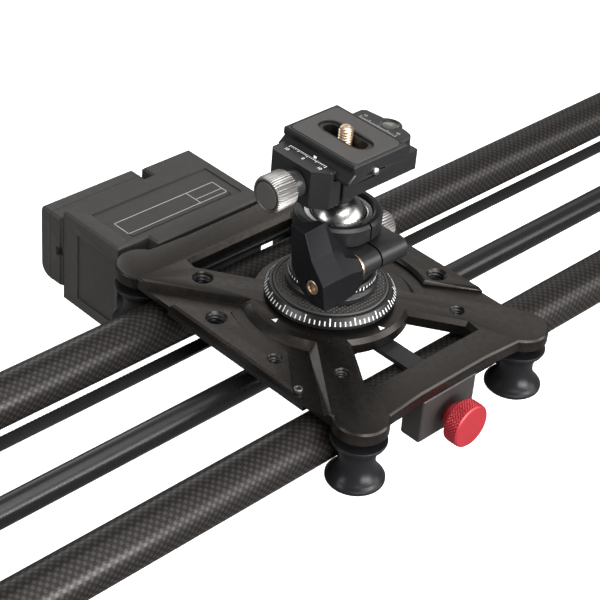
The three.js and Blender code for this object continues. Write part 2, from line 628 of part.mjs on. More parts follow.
// Half of a jaw's section: the lip hooks over the plate's slanting wing.
const lip = (side) => [[side * (QR.wing + GAP), CLAMP.seat], [side * (QR.wing + GAP), 95.5],
  [side * (QR.wing - 1), 96.6], [side * (QR.wing - 0.2), CLAMP.top]];

function clampBody() {
  const c = CLAMP;
  const section = outline([[c.x0, c.z0], [c.x1, c.z0], [c.x1, c.top], ...lip(1).reverse(), [c.x0, c.seat]]);
  const plan = new THREE.Shape();
  const bulge = 6.5;
  plan.moveTo(c.x0 - 1, c.nearY);
  plan.lineTo(c.x1 - 6, c.nearY);
  plan.lineTo(c.x1 - 4, c.nearY + 2);
  plan.lineTo(c.x1 - 3, -bulge);
  plan.absarc(c.x1 - bulge, 0, bulge, -Math.PI / 3, Math.PI / 3, false);
  plan.lineTo(c.x1 - 3, bulge);
  plan.lineTo(c.x1 - 4, c.farY - 2);
  plan.lineTo(c.x1 - 6, c.farY);
  plan.lineTo(c.x0 - 1, c.farY);
  plan.closePath();
  const jawTop = solid(slab(plan, c.seat - 3, c.top + 1));
  const whole = solid(runY(section, c.nearY, c.farY, 0.5));
  const base = block(c.x0 - 1, c.x1 + 1, c.nearY - 1, c.farY + 1, c.z0 - 1, c.seat - 2.9);
  const trimmed = whole.intersect(join(base, jawTop));
  const r = BALL.r + GAP;
  const seat = [0, 2, 4, 6].map((x) => [x, BALL.z + Math.sqrt(r * r - x * x)]);
  const stem = solid(turned([...seat, [6.2, 75], [9.5, 78.6], [9.5, 81], [0, 81]], 32));
  const bore = solid(alongX(turned(rod(2.7, c.x0 - 1, 12), 20), 0, SCREW_Z));
  const vial = placed(solid(turned(rod(4.3, c.top - 3, c.top + 1), 24)), c.vialX, 0);
  return cut(join(trimmed, stem), bore, vial);
}

function jawBody() {
  const section = outline([[JAW.x0, CLAMP.z0], [JAW.x1, CLAMP.z0], [JAW.x1, CLAMP.seat], ...lip(-1),
    [JAW.x0, CLAMP.top]]);
  const plan = outline([[JAW.x1 + 1, JAW.nearY], [JAW.x1 + 1, JAW.farY], [JAW.x0 + 2, JAW.farY],
    [JAW.x0, JAW.farY - 2], [JAW.x0, JAW.cornerY], [JAW.cornerX, JAW.nearY]]);
  const shaped = solid(runY(section, JAW.nearY, JAW.farY, 0.4));
  const column = solid(slab(plan, CLAMP.z0 - 1, CLAMP.top + 1));
  const bore = solid(alongX(turned(rod(2.7, JAW.x0 - 1, JAW.x1 + 1), 20), 0, SCREW_Z));
  return cut(shaped.intersect(column), bore);
}

function addClamp() {
  piece('clamp_body', clampBody(), material.blackMetal);
  const vial = turned(rod(4, CLAMP.top - 2.7, CLAMP.top - 0.2), 24).translate(CLAMP.vialX, 0, 0);
  piece('bubble_level', vial, material.green);
  piece('clamp_jaw', jawBody(), material.blackMetal);
  const k = KNOB;
  const rim = k.cap + 0.3;
  const knob = [[0, k.x0 + 1.3], [rim, k.x0 + 1.3], [rim, k.x0], [k.r - 0.5, k.x0], [k.r, k.x0 + 0.6], [k.r, k.x1 - 1],
    [k.r - 1, k.x1], [5.6, k.x1], [5.6, JAW.x0 - GAP], [2.5, JAW.x0 - GAP], [2.5, 8], [0, 8]];
  piece('clamp_knob', alongX(turned(knob, 28), 0, SCREW_Z), material.silver);
  piece('knob_cap', alongX(turned(rod(k.cap, k.x0 - 0.2, k.x0 + 1), 28), 0, SCREW_Z), material.rubber);
}

function qrSection() {
  const q = QR;
  const half = [[17.6, q.z0], [q.wing, q.z0 + 1], [q.wing, 95.2], [15.2, 97.9], [q.halfX, 98.8],
    [q.halfX, q.z1 - 0.7], [q.halfX - 0.7, q.z1]];
  return outline([...half, ...half.map(([x, z]) => [-x, z]).reverse()]);
}

function addQuickPlate() {
  const q = QR;
  const seatZ = 101.2;
  const pin = { x: -2.8, z: 95.6, r: 1.9 };
  const slotR = 3.45;
  const slotHalf = 12;
  const slot = solid(slab(rounded(-slotR, slotR, -slotHalf, slotHalf, slotR - 0.01), q.z0 + 1, q.z1 + 2, 0, 8));
  const tray = solid(slab(rounded(-14.4, 14.4, -19.6, 19.6, 3), seatZ, q.z1 + 1, 0, 5));
  const pocket = block(-7.9, 7.9, -16.5, 16.5, q.z0 - 1, q.z0 + 3);
  const pinHole = solid(alongY(turned(rod(pin.r + 0.2, -q.halfY - 1, -16), 16), pin.x, pin.z));
  const slit = block(pin.x - 5.5, pin.x + 5.5, -q.halfY - 1, -q.halfY + 1.5, pin.z - 0.4, pin.z + 0.3);
  const body = cut(solid(runY(qrSection(), -q.halfY, q.halfY, 0.6)), slot, tray, pocket, pinHole, slit);
  piece('qr_plate', body, material.blackMetal);
  const pad = solid(slab(rounded(-14.1, 14.1, -19.3, 19.3, 2.8), seatZ + 0.1, q.z1 + 0.2, 0, 5));
  const padSlot = solid(slab(rounded(-5, 5, -14.5, 14.5, 4.99), seatZ - 1, q.z1 + 2, 0, 8));
  piece('qr_pad', cut(pad, padSlot), material.rubber);
  const [head, top] = [q.z0 + 0.4, q.z0 + 13.4];
  const screw = [[0, head], [7.4, head], [7.4, head + 2.2], [3.15, head + 2.2], [3.15, top - 0.6], [2.6, top],
    [0, top]];
  piece('camera_screw', turned(screw, 24), material.brass);
  const bullet = [[0, -22.4], [1.2, -22.4], [pin.r, -21.5], [pin.r, -17], [0, -17]];
  piece('stop_pin', alongY(turned(bullet, 16), pin.x, pin.z), material.steel);
}

addRails();
addEnds();
addFeet();
addPlate();
addUnderFrame();
addRollers();
addBrake();
addMotor();
addBattery();
addDriveBracket();
addPulley();
addBeltLoop();
addTurntable();
addHead();
addLever();
addClamp();
addQuickPlate();

const root = new THREE.Group();
root.add(slider);

export default root;
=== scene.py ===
# Motorised camera slider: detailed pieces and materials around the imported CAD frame. Metres; MM turns
# millimetres into them. Heights of the slider group are measured from the rail axes, AXIS_Z above the floor.
import math

import bmesh
import bpy
from mathutils import Matrix, Vector


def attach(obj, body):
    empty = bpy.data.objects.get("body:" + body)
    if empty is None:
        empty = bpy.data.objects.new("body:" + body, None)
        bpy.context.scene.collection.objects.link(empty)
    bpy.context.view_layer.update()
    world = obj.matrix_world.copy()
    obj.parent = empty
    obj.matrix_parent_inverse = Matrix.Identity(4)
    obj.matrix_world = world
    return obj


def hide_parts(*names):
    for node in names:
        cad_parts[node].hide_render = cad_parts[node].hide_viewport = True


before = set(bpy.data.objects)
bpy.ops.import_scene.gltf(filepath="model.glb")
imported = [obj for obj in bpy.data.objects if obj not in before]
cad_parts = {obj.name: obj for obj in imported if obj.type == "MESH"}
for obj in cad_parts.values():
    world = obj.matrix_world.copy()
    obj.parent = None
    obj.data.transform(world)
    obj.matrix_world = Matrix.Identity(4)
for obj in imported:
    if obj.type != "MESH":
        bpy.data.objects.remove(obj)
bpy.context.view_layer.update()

MM = 0.001
AXIS_Z = 75
TAU = math.tau

RAIL_R = 11
RAIL_Y = 50
EAR = (50.2, 69.2)
BALL_Z = 60.1
BALL_R = 13
PLATE_TOP = 20.7
SCREW_Z = 88.9
CLAMP_TOP = 97.5
QUICK_PLATE_TOP = 102.2
PAN_KNOB_Z = 45.5
PAN_MARK_DEG = -102.6
LEVER_AXIS = (-22, 51.6)  # y and height
BRAKE_X = 1
RAIL_HALF = 494
ROD_HALF = 490
FOOT_X = 486
FOOT_Y = 130
VIAL_X = 27.5
CORNERS = {"far_left": (-1, 1), "far_right": (1, 1), "near_left": (-1, -1), "near_right": (1, -1)}

scene = bpy.context.scene


# ---- materials ----

class Shader:
    """A material with a Principled surface and short calls for the nodes that feed it."""

    def __init__(self, name, colour, metallic=0.0, roughness=0.5, **sockets):
        self.material = bpy.data.materials.new(name)
        self.material.use_nodes = True
        self.tree = self.material.node_tree
        self.surface = self.tree.nodes["Principled BSDF"]
        self.set("Base Color", (*colour, 1.0))
        self.set("Metallic", metallic)
        self.set("Roughness", roughness)
        for socket, value in sockets.items():
            self.set(socket.replace("_", " "), value)
        self.place = self.node("ShaderNodeTexCoord").outputs["Object"]

    def set(self, socket, value):
        self.surface.inputs[socket].default_value = value

    def node(self, kind, **settings):
        made = self.tree.nodes.new(kind)
        for key, value in settings.items():
            setattr(made, key, value)
        return made

    def link(self, output, target):
        self.tree.links.new(output, target)

    def feed(self, output, socket):
        self.link(output, self.surface.inputs[socket])

    def math(self, operation, *values):
        made = self.node("ShaderNodeMath", operation=operation)
        for slot, value in zip(made.inputs, values):
            if isinstance(value, (int, float)):
                slot.default_value = value
            else:
                self.link(value, slot)
        return made.outputs[0]

    def noise(self, size_mm, detail=3.0):
        made = self.node("ShaderNodeTexNoise")
        made.inputs["Scale"].default_value = 1.0 / (size_mm * MM)
        made.inputs["Detail"].default_value = detail
        self.link(self.place, made.inputs["Vector"])
        return made.outputs["Fac"]

    def ramp(self, value, low, high, out_low, out_high):
        made = self.node("ShaderNodeMapRange")
        self.link(value, made.inputs["Value"])
        ends = {"From Min": low, "From Max": high, "To Min": out_low, "To Max": out_high}
        for slot, number in ends.items():
            made.inputs[slot].default_value = number
        return made.outputs["Result"]

    def mix(self, factor, colour_a, colour_b):
        made = self.node("ShaderNodeMix", data_type="RGBA")
        self.link(factor, made.inputs["Factor"])
        for slot, colour in ((6, colour_a), (7, colour_b)):
            if isinstance(colour, tuple):
                made.inputs[slot].default_value = (*colour, 1.0)
            else:
                self.link(colour, made.inputs[slot])
        return made.outputs[2]

    def bump(self, height, depth_mm, strength=1.0):
        made = self.node("ShaderNodeBump")
        made.inputs["Strength"].default_value = strength
        made.inputs["Distance"].default_value = depth_mm * MM
        self.link(height, made.inputs["Height"])
        self.feed(made.outputs["Normal"], "Normal")


def shade(colour, factor):
    """A colour made darker or paler."""
    return tuple(min(1.0, c * factor) for c in colour)


def surfaced(name, colour, metallic, roughness, grain=0.25, depth=0.02, spread=0.06, wear_and_edge_highlight=0.0, **sockets):
    """A finish with slow colour drift, uneven gloss, a fine grain in relief and paler sharp edges, partly
    worn and partly painted highlight.
    """
    s = Shader(name, colour, metallic, roughness, **sockets)
    drift = s.ramp(s.noise(22, 2), 0.3, 0.7, 0.0, 1.0)
    tone = s.mix(drift, shade(colour, 1 - spread), shade(colour, 1 + spread))
    if wear_and_edge_highlight:
        # painted highlight together with wear: sharp convex edges are paled, standing for worn metal and for
        # light caught on the edges
        edge = s.ramp(s.node("ShaderNodeNewGeometry").outputs["Pointiness"], 0.52, 0.6, 0.0, wear_and_edge_highlight)
        patchy = s.math("MULTIPLY", edge, s.ramp(s.noise(3), 0.35, 0.6, 0.3, 1.0))
        tone = s.mix(patchy, tone, shade(colour, 2.6))
    s.feed(tone, "Base Color")
    s.feed(s.ramp(s.noise(4), 0.3, 0.7, roughness - 0.02, roughness + 0.03), "Roughness")
    s.bump(s.noise(grain, 2), depth)
    return s.material


def carbon(name, radius_mm):
    """Woven carbon under a clear coat, its tows given painted sheen, wrapped round a tube along X whose axis
    is the object's own.
    """
    s = Shader(name, (0.03, 0.027, 0.025), 0.4, 0.4, Coat_Weight=0.1, Coat_Roughness=0.1,
               Specular_IOR_Level=0.2)
    cells_round = 40
    tow = TAU * radius_mm * MM / cells_round
    split = s.node("ShaderNodeSeparateXYZ")
    s.link(s.place, split.inputs[0])
    x, y, z = split.outputs
    along = s.math("DIVIDE", x, tow)
    around = s.math("MULTIPLY", s.math("ARCTAN2", z, y), cells_round / TAU)
    parity = s.math("FLOORED_MODULO", s.math("ADD", s.math("FLOOR", along), s.math("FLOOR", around)), 2.0)
    warp = s.math("LESS_THAN", parity, 0.5)
    crown = {}
    for key, value in (("along", along), ("around", around)):
        crown[key] = s.math("SINE", s.math("MULTIPLY", s.math("FRACT", value), math.pi))
    crown_height_and_sheen = s.math("POWER", s.math("MULTIPLY", crown["along"], crown["around"]), 0.25)
    # painted sheen: warp tows pale and weft tows dark, each brightest at its crown, stand in for light the
    # fibres reflect; the crown also sets the bump
    warp_sheen = s.mix(crown_height_and_sheen, (0.003, 0.003, 0.003), (0.034, 0.029, 0.026))
    dark = s.mix(crown_height_and_sheen, (0.003, 0.003, 0.003), (0.009, 0.008, 0.007))
    fibre = s.noise(0.35, 4)
    tone = s.mix(warp, dark, warp_sheen)
    s.feed(s.mix(s.ramp(fibre, 0.3, 0.75, 0.0, 0.45), tone, (0.012, 0.011, 0.011)), "Base Color")
    s.feed(s.ramp(warp, 0.0, 1.0, 0.5, 0.38), "Roughness")
    s.bump(s.math("ADD", crown_height_and_sheen, s.math("MULTIPLY", fibre, 0.12)), 0.05, 0.5)
    return s.material


def turned_metal(name, colour, roughness):
    """Bare metal with uneven gloss and the faint grain of machining."""
    s = Shader(name, colour, 1.0, roughness)
    drift = s.ramp(s.noise(9, 2), 0.3, 0.7, 0.0, 1.0)
    s.feed(s.mix(drift, shade(colour, 0.86), shade(colour, 1.08)), "Base Color")
    s.feed(s.ramp(s.noise(1.2, 4), 0.3, 0.7, roughness - 0.04, roughness + 0.07), "Roughness")
    s.bump(s.noise(0.12, 1), 0.006)
    return s.material


FINISH = {
    "carbon": carbon("twill_carbon", RAIL_R),
    "rod": surfaced("rod_satin_black", (0.02, 0.019, 0.019), 0.5, 0.28, grain=0.15, depth=0.004),
    "plate": surfaced("plate_anodised", (0.04, 0.0355, 0.032), 0.9, 0.28, grain=0.16, depth=0.008, wear_and_edge_highlight=0.25),
    "block": surfaced("block_anodised", (0.026, 0.023, 0.022), 0.2, 0.4, grain=0.16, depth=0.008),
    "black": surfaced("black_anodised", (0.009, 0.009, 0.0095), 0.1, 0.34, grain=0.18, depth=0.006, wear_and_edge_highlight=0.5,
                      Specular_IOR_Level=0.4),
    "cast": surfaced("lever_cast", (0.004, 0.004, 0.0048), 0.0, 0.33, grain=0.3, depth=0.008, wear_and_edge_highlight=0.8,
                     Specular_IOR_Level=0.1),
    "acetal": surfaced("roller_acetal", (0.008, 0.008, 0.009), 0.0, 0.3, grain=0.6, depth=0.004,
                       Specular_IOR_Level=0.16),
    "case": surfaced("case_plastic", (0.026, 0.0245, 0.0225), 0.0, 0.55, grain=0.35, depth=0.02, wear_and_edge_highlight=0.15,
                     Specular_IOR_Level=0.3),
    "gloss": surfaced("gloss_plastic", (0.015, 0.015, 0.016), 0.0, 0.2, grain=0.5, depth=0.004),
    "rubber": surfaced("rubber", (0.024, 0.023, 0.022), 0.0, 0.72, grain=0.3, depth=0.04, spread=0.2),
    "belt": surfaced("belt_rubber", (0.011, 0.011, 0.011), 0.0, 0.62, grain=0.2, depth=0.02, spread=0.2),
    "pad": surfaced("pad_rubber", (0.043, 0.04, 0.037), 0.0, 0.6, grain=0.22, depth=0.03, spread=0.1),
    "ball": surfaced("ball_polished", (0.3, 0.295, 0.29), 1.0, 0.25, grain=2, depth=0.0004, spread=0.03),
    "steel": turned_metal("steel_turned", (0.55, 0.54, 0.53), 0.28),
    "silver": turned_metal("silver_knurled", (0.21, 0.203, 0.197), 0.42),
    "champagne": turned_metal("champagne_machined", (0.72, 0.55, 0.40), 0.3),
    "red": surfaced("red_anodised", (0.33, 0.02, 0.028), 0.5, 0.4, grain=0.14, depth=0.01, spread=0.08),
    "paint": surfaced("white_marking", (0.8, 0.8, 0.78), 0.0, 0.6, grain=0.1, depth=0.004, spread=0.05),
    "faint": surfaced("grey_marking", (0.42, 0.41, 0.39), 0.0, 0.6, grain=0.1, depth=0.004, spread=0.05),
    "dark": surfaced("dark_gap", (0.004, 0.004, 0.004), 0.0, 0.8, grain=0.4, depth=0.01),
    "vial": surfaced("vial_fluid", (0.03, 0.036, 0.02), 0.0, 0.15, grain=2, depth=0.002, Coat_Weight=0.6,
                     Coat_Roughness=0.05),
    "bubble": surfaced("vial_bubble", (0.1, 0.11, 0.08), 0.0, 0.1, grain=2, depth=0.002, Coat_Weight=1.0),
}


# ---- making pieces ----

def settle(piece, body, finish, stands_for=()):
    """Gives a piece its finish and the body it rides on, and hides the CAD nodes it stands for."""
    piece.data.materials.clear()
    piece.data.materials.append(FINISH[finish])
    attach(piece, body)
    if stands_for:
        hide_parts(*stands_for)
    return piece


def finished(name, bm, smooth_deg, place=(0, 0, 0)):
    """Turns a bmesh in millimetres into an object whose origin is at place."""
    bmesh.ops.recalc_face_normals(bm, faces=bm.faces)
    bmesh.ops.scale(bm, vec=(MM, MM, MM), verts=bm.verts)
    mesh = bpy.data.meshes.new(name)
    bm.to_mesh(mesh)
    bm.free()
    for polygon in mesh.polygons:
        polygon.use_smooth = True
    mesh.set_sharp_from_angle(angle=math.radians(smooth_deg))
    piece = bpy.data.objects.new(name, mesh)
    piece.location = Vector(place) * MM
    scene.collection.objects.link(piece)
    return piece


def refined(node, body, finish, width=0.35, segments=2, sharp_deg=32):
    """Stands a copy of a CAD solid, its sharp edges rounded, in the solid's place."""
    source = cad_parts[node]
    bm = bmesh.new()
    bm.from_mesh(source.data)
    bmesh.ops.scale(bm, vec=(1 / MM, 1 / MM, 1 / MM), verts=bm.verts)
    bmesh.ops.remove_doubles(bm, verts=bm.verts, dist=0.002)
    bmesh.ops.dissolve_limit(bm, angle_limit=math.radians(0.5), verts=bm.verts, edges=bm.edges)
    piece = finished(f"{node}_finished", bm, sharp_deg)
    bevel = piece.modifiers.new("edges", "BEVEL")
    bevel.width = width * MM
    bevel.segments = segments
    bevel.angle_limit = math.radians(sharp_deg)
    bevel.harden_normals = True
    bevel.miter_outer = "MITER_ARC"
    applied(piece)
    return settle(piece, body, finish, (node,))


def applied(piece):
    """Applies a piece's modifiers to its mesh."""
    bpy.context.view_layer.update()
    shape = piece.evaluated_get(bpy.context.evaluated_depsgraph_get())
    mesh = bpy.data.meshes.new_from_object(shape)
    piece.modifiers.clear()
    piece.data = mesh


def filleted(points, radius):
    """Rounds the inner corners of an open line of (r, h, knurl) points."""
    done = [points[0]]
    for before, corner, after in zip(points, points[1:], points[2:]):
        a, p, b = (Vector(q[:2]) for q in (before, corner, after))
        reach = min(radius, (a - p).length * 0.45, (b - p).length * 0.45)
        if reach < 1e-4:
            done.append(corner)
            continue
        start = p + (a - p).normalized() * reach
        end = p + (b - p).normalized() * reach
        for t in (0.0, 0.33, 0.67, 1.0):
            q = start.lerp(p, t).lerp(p.lerp(end, t), t)
            done.append((q.x, q.y, corner[2]))
    done.append(points[-1])
    return done


AXES = {
    "X": Matrix(((0, 0, 1), (1, 0, 0), (0, 1, 0))),
    "Y": Matrix(((0, 1, 0), (0, 0, 1), (1, 0, 0))),
    "Z": Matrix.Identity(3),
}


def revolve(bm, profile, axis="Z", at=(0, 0, 0), segments=96, ridge=None, fillet=0.25, closed=False):
    """Turns a profile of (radius, height[, knurl]) points about an axis through at."""
    line = [(p[0], p[1], p[2] if len(p) > 2 else 0) for p in profile]
    line = filleted(line, fillet) if fillet else line
    turn, centre = AXES[axis], Vector(at)
    rings = []
    for r, h, knurl in line:
        if r < 1e-6:
            rings.append([bm.verts.new(turn @ Vector((0, 0, h)) + centre)])
            continue
        ring = []
        for i in range(segments):
            a = TAU * i / segments
            deep = ridge(a, h) * knurl if ridge and knurl else 0.0
            reach = r - deep
            ring.append(bm.verts.new(turn @ Vector((reach * math.cos(a), reach * math.sin(a), h)) + centre))
        rings.append(ring)
    pairs = list(zip(rings, rings[1:]))
    if closed:
        pairs.append((rings[-1], rings[0]))
    for low, high in pairs:
        for i in range(segments):
            j = (i + 1) % segments
            corners = [low[i % len(low)], low[j % len(low)], high[j % len(high)], high[i % len(high)]]
            face = [v for k, v in enumerate(corners) if v not in corners[:k]]
            if len(face) > 2:
                bm.faces.new(face)
    return bm


def turned(name, profile, body, finish, stands_for=(), smooth_deg=38, **shape):
    """Makes and settles a piece turned from one profile."""
    bm = revolve(bmesh.new(), profile, **shape)
    return settle(finished(name, bm, smooth_deg), body, finish, stands_for)


def straight_ridges(count, depth):
    """Rounded grooves along the axis, as a cut into the wall by angle and height."""
    return lambda a, h: depth * (0.5 - 0.5 * math.cos(a * count))


def diamond_ridges(count, depth, pitch):
    """Two crossing sets of slanted grooves, as a cut into the wall by angle and height."""
    def deep(a, h):
        turn = a * count / TAU
        slope = h / pitch
        lines = [abs(((turn + side * slope) % 1.0) - 0.5) * 2 for side in (1, -1)]
        return depth * max(lines)
    return deep


def rows(r, low, high, step, knurl=1):
    """Closely spaced profile points up a knurled wall."""
    count = max(1, round((high - low) / step))
    return [(r, low + (high - low) * i / count, knurl) for i in range(count + 1)]


def skin(bm, low, high):
    """Joins two rings of vertices with a wall of quads."""
    for k in range(len(low)):
        m = (k + 1) % len(low)
        bm.faces.new((low[k], low[m], high[m], high[k]))


def swept(bm, rings):
    """A solid run through rings of vertices, with both ends capped."""
    for low, high in zip(rings, rings[1:]):
        skin(bm, low, high)
    bm.faces.new(rings[0])
    bm.faces.new(list(reversed(rings[-1])))


def prism(bm, low, high):
    """A solid between two outlines of the same number of points."""
    foot = [bm.verts.new(p) for p in low]
    peak = [bm.verts.new(p) for p in high]
    bm.faces.new(foot)
    bm.faces.new(peak)
    skin(bm, foot, peak)


def helix(bm, root, crest, pitch, low, high, at=(0, 0, 0), steps=28):
    """A screw thread about Z: a triangular ridge wound from low to high, from root out or in to crest."""
    centre = Vector(at)
    inward = -1 if crest < root else 1
    total = int((high - low - pitch) / pitch * steps)
    section = [(root - inward * 0.05, -0.48), (crest, -0.06), (crest, 0.06), (root - inward * 0.05, 0.48)]
    rings = []
    for i in range(total + 1):
        a = TAU * i / steps
        fade = min(1.0, i / 6, (total - i) / 6)
        base = low + pitch * (0.5 + i / steps)
        ring = []
        for r, h in section:
            rr = root + (r - root) * fade if r == crest else r
            ring.append(bm.verts.new(Vector((rr * math.cos(a), rr * math.sin(a), base + h * pitch)) + centre))
        rings.append(ring)
    swept(bm, rings)
    return bm


def brick(bm, low, high, turn=None):
    """A small box between two corners, turned by a matrix about the origin."""
    xs, ys, zs = zip(low, high)
    corners = [Vector((x, y, z)) for x in xs for y in ys for z in zs]
    v = [bm.verts.new(turn @ c if turn else c) for c in corners]
    for face in ((0, 1, 3, 2), (4, 6, 7, 5), (0, 4, 5, 1), (2, 3, 7, 6), (0, 2, 6, 4), (1, 5, 7, 3)):
        bm.faces.new([v[i] for i in face])


def lettering(bm, text, size, place, turn):
    """Adds a number, raised by a hair, in the plane that turn gives."""
    curve = bpy.data.curves.new("digits", "FONT")
    curve.body = text
    curve.size = size
    curve.extrude = 0.02
    curve.align_x = "CENTER"
    curve.align_y = "CENTER"
    holder = bpy.data.objects.new("digits", curve)
    mesh = bpy.data.meshes.new_from_object(holder)
    mesh.transform(Matrix.Translation(Vector(place)) @ turn.to_4x4())
    bm.from_mesh(mesh)
    bpy.data.objects.remove(holder)
    bpy.data.meshes.remove(mesh)
    bpy.data.curves.remove(curve)


def lifted(x=0, y=0, z=0):
    """A place whose height is given from the rail axes."""
    return (x, y, z + AXIS_Z)


def cap_screw(bm, x, y, top, r, head, up=1):
    """A socket-head screw along Z: head standing on its seat, hexagonal socket sunk in the top."""
    seat = top - up * head
    socket_floor = top - up * head * 0.7
    profile = [(0, seat), (r, seat), (r, top - up * 0.25), (r - 0.25, top), (r * 0.56, top)]
    socket = [(r * 0.56, top), (r * 0.5, top - up * 0.2), (r * 0.5, socket_floor), (0, socket_floor)]
    revolve(bm, profile, "Z", (x, y, 0), 36, fillet=0.12)
    revolve(bm, socket, "Z", (x, y, 0), 6, fillet=0)


# ---- rails and ends ----

def make_rails():
    half, bore, edge = RAIL_HALF, 9.5, 0.4
    for name, side in (("rail_far", 1), ("rail_near", -1)):
        profile = [(RAIL_R, -half + edge), (RAIL_R, half - edge), (RAIL_R - edge, half), (bore + edge, half),
                   (bore, half - edge), (bore, -half + edge), (bore + edge, -half), (RAIL_R - edge, -half)]
        bm = revolve(bmesh.new(), profile, "X", segments=128, fillet=0, closed=True)
        piece = finished(f"{name}_woven", bm, 40, (0, side * RAIL_Y, AXIS_Z))
        settle(piece, "base", "carbon", (name,))
    profile = [(0, -ROD_HALF), (6, -ROD_HALF), (6, ROD_HALF), (0, ROD_HALF)]
    turned("centre_rod_drawn", profile, "base", "rod", ("centre_rod",), axis="X",
           at=lifted(z=-6.5), segments=72, fillet=0.6)


def make_ends():
    for end, side in (("left", -1), ("right", 1)):
        refined(f"end_block_{end}", "base", "plate", 0.8, 3)
        refined(f"leg_{end}", "base", "black", 0.6, 3)
        refined(f"belt_clamp_{end}", "base", "black", 0.4)
        bm = bmesh.new()
        for y in (-RAIL_Y, RAIL_Y):
            for reach in (FOOT_X - 7, FOOT_X + 7):
                cap_screw(bm, side * reach, y, AXIS_Z + 18.2, 2.4, 1.6)
        for y in (-30, -12, 12, 30):
            cap_screw(bm, side * FOOT_X, y, AXIS_Z - 28.6, 2.6, 1.6, up=-1)
        cap_screw(bm, side * 464, BELT["y"], AXIS_Z - 20.9, 2.0, 1.5, up=-1)
        settle(finished(f"end_screws_{end}", bm, 35), "base", "steel")


def make_feet():
    knurl = straight_ridges(40, 0.45)
    for corner, (sx, sy) in CORNERS.items():
        foot = f"foot_{corner}"
        at = (sx * FOOT_X, sy * FOOT_Y, 0)
        rim = [(13.2, 0), (14, 0.8), (14, 3.2), (12.9, 3.9), (11.2, 5.6), (6.2, 7.4), (5.4, 7.6), (0, 7.6)]
        grooves = [(0, 0.0), (3, 0.0), (3.2, 0.5), (4.6, 0.5), (4.8, 0.0), (7, 0.0), (7.2, 0.5), (8.6, 0.5),
                   (8.8, 0.0), (11, 0.0)]
        turned(f"foot_sole_{corner}", grooves + rim, foot, "rubber", (foot,), at=at, segments=80, fillet=0.2)
        stud = [(0, 7.6), (4.6, 7.6), (4.6, 9.2), (2.6, 9.2), (2.6, 36.2), (1.9, 37), (0, 37)]
        bm = revolve(bmesh.new(), stud, at=at, segments=48, fillet=0.1)
        helix(bm, 2.55, 2.98, 1.0, 9.4, 36.4, at=at)
        settle(finished(f"foot_stud_{corner}", bm, 35), foot, "steel")
        under = [(3.1, 15.5), (7.6, 15.5), (8.6, 15.9, 0)]
        above = [(8.6, 20.1, 0), (7.6, 20.4), (3.1, 20.4)]
        wheel = under + rows(9, 16.3, 19.7, 3.4) + above
        node = f"level_wheel_{corner}"
        turned(f"level_wheel_knurled_{corner}", wheel, f"wheel_{corner}", "silver", (node,), at=at,
               segments=240, ridge=knurl, fillet=0, closed=True)


# ---- belt drive ----

def toothed(path, y_mid, width, thick, tooth, pitch):
    """A belt along a path of (x, z) points: plain back, square teeth on its left-hand side."""
    bm = bmesh.new()
    points = [Vector(p) for p in path]
    rings = []
    run = 0.0
    for i, p in enumerate(points):
        before, after = points[max(i - 1, 0)], points[min(i + 1, len(points) - 1)]
        along = (after - before).normalized()
        side = Vector((-along.y, along.x))
        run += (p - before).length
        high = thick / 2 - (0 if (run / pitch) % 1.0 < 0.5 else tooth)
        back, front = p - side * (thick / 2), p + side * high
        rings.append([bm.verts.new((q.x, y, q.y)) for q, y in (
            (back, y_mid - width / 2), (back, y_mid + width / 2), (front, y_mid + width / 2),
            (front, y_mid - width / 2))])
    swept(bm, rings)
    return bm


PULLEY = (8, -21.5, 4.6)  # x, height and radius
IDLER = (10.5, -19.1, 3.2)  # distance from the pulley along x, height and radius
BELT = {"y": 40.6, "width": 7, "thick": 1.2, "tooth": 0.15, "pitch": 2.0}


def belt_path(step_mm=0.33):
    """Over one idler, under the pulley and over the other, as evenly spaced points."""
    clearance = 0.3 + BELT["thick"] / 2
    big, small = PULLEY[2] + clearance, IDLER[2] + clearance
    dx, dz = IDLER[0], IDLER[1] - PULLEY[1]
    tangent = math.atan2(dz, dx) + math.pi - math.acos((big + small) / math.hypot(dx, dz))

    def arc(cx, cz, r, start, stop):
        count = max(2, round(abs(stop - start) * r / step_mm))
        return [Vector((cx + r * math.cos(t), cz + r * math.sin(t))) for t in
                (start + (stop - start) * i / count for i in range(count + 1))]

    right = arc(0, 0, big, -math.pi / 2, tangent - math.pi)
    bend = arc(dx, dz, small, tangent, math.pi / 2)
    straight = [right[-1].lerp(bend[0], t / 8) for t in range(1, 8)]
    tail = [bend[-1] + Vector((5 * t / 15, 0)) for t in range(1, 16)]
    half = right + straight + bend + tail
    whole = [Vector((-p.x, p.y)) for p in reversed(half[1:])] + half
    return [(p.x + PULLEY[0], p.y + PULLEY[1] + AXIS_Z) for p in whole]


def make_belt():
    reach, step = 469.2, 0.5
    count = round(2 * reach / step)
    z = AXIS_Z - 13.5
    run = [(-reach + 2 * reach * i / count, z) for i in range(count + 1)]
    sizes = (BELT["y"], BELT["width"], BELT["thick"], BELT["tooth"], BELT["pitch"])
    straight = finished("belt_run_toothed", toothed(run, *sizes), 30)
    settle(straight, "base", "belt", ("belt_run",))
    loop = finished("belt_loop_toothed", toothed(belt_path(), *sizes), 30)
    settle(loop, "carriage", "belt", ("belt_loop",))


